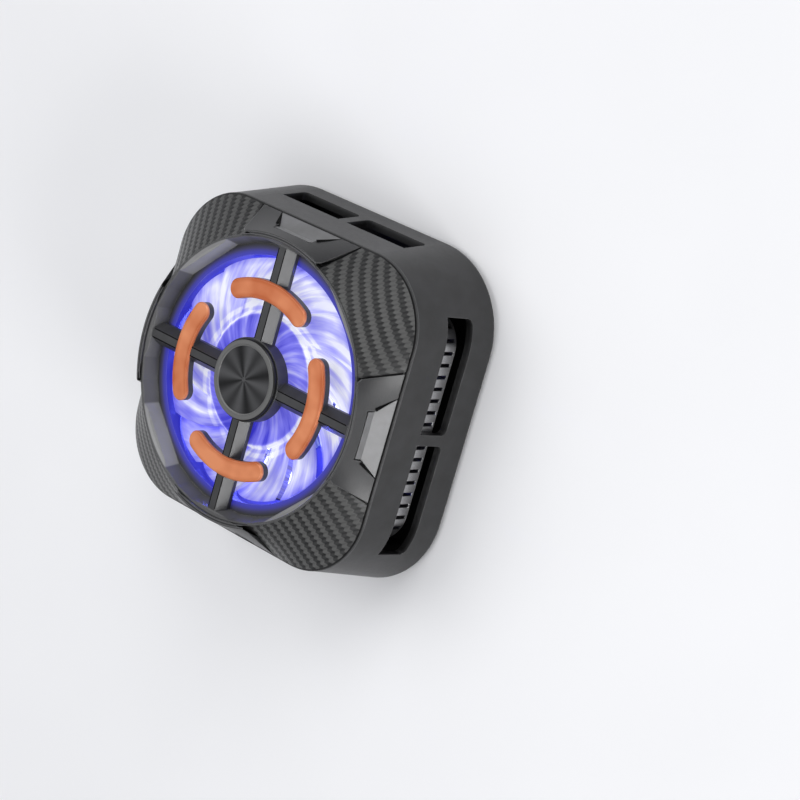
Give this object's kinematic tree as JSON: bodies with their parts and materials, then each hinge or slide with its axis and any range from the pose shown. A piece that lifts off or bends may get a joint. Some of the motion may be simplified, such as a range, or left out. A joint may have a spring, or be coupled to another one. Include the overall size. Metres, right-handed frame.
{
  "type": "phone cooling fan",
  "caption": "Magnetic phone cooling fan: tapered case with side vents, carbon-look corners, ridged guard with copper arcs and a blue-lit impeller over a cold plate.",
  "frame": {"origin": "centre of the face that lies on the phone, on the fan's axis", "axes": "+Z out of the fan's front, +X along the heat sink's fins, -Y towards the power socket"},
  "size_m": [0.0594, 0.0594, 0.0253],
  "materials": {
    "case_plastic": "satin",
    "cover_plastic": "satin",
    "panel_plastic": "satin",
    "insert_plastic": "satin",
    "carbon": "gloss",
    "guard_plastic": "satin",
    "bezel_metal": "gloss",
    "spun_metal": "brushed",
    "copper_accent": "satin",
    "lit_plastic": "gloss",
    "steel": "satin",
    "magnet": "satin",
    "brass": "satin",
    "copper_wire": "gloss",
    "board": "satin",
    "blue_light": "gloss",
    "silicone": "matte",
    "thermal_silicone": "matte",
    "fin_aluminium": "satin",
    "ceramic": "matte",
    "element": "satin",
    "foam": "matte",
    "chip": "matte",
    "screw_steel": "satin"
  },
  "bodies": {
    "housing": {"main_case": "case_plastic", "front_cover": "cover_plastic", "guard_grille": "guard_plastic", "hub_bezel": "bezel_metal", "hub_disc": "spun_metal", "bearing_sleeve": "brass", "stator_core": "steel", "stator_windings": "copper_wire", "fan_frame": "cover_plastic", "motor_board": "board", "light_emitters": "blue_light", "rear_cover": "case_plastic", "ring_magnets": "magnet", "steel_ring": "steel", "silicone_pad": "silicone", "thermal_pad": "thermal_silicone", "cold_plate": "fin_aluminium", "module_cold_face": "ceramic", "module_elements": "element", "module_hot_face": "ceramic", "foam_gasket": "foam", "heat_sink": "fin_aluminium", "control_board": "board", "driver_chip": "chip", "power_socket": "steel", "socket_tongue": "chip", "case_screws": "screw_steel", "fan_screws": "screw_steel", "plate_screws": "screw_steel", "side_panel_1": "panel_plastic", "panel_insert_1": "insert_plastic", "corner_inlay_1": "carbon", "accent_arc_1": "copper_accent", "side_panel_2": "panel_plastic", "panel_insert_2": "insert_plastic", "corner_inlay_2": "carbon", "accent_arc_2": "copper_accent", "side_panel_3": "panel_plastic", "panel_insert_3": "insert_plastic", "corner_inlay_3": "carbon", "accent_arc_3": "copper_accent", "side_panel_4": "panel_plastic", "panel_insert_4": "insert_plastic", "corner_inlay_4": "carbon", "accent_arc_4": "copper_accent"},
    "rotor": {"impeller": "lit_plastic", "rotor_yoke": "steel", "rotor_magnet": "magnet", "rotor_shaft": "steel"}
  },
  "joints": [
    {"name": "fan_spin", "type": "hinge", "parent": "housing", "child": "rotor", "pos_m": [0, 0, 0.018], "axis": [0, 0, 1], "continuous": true}
  ]
}
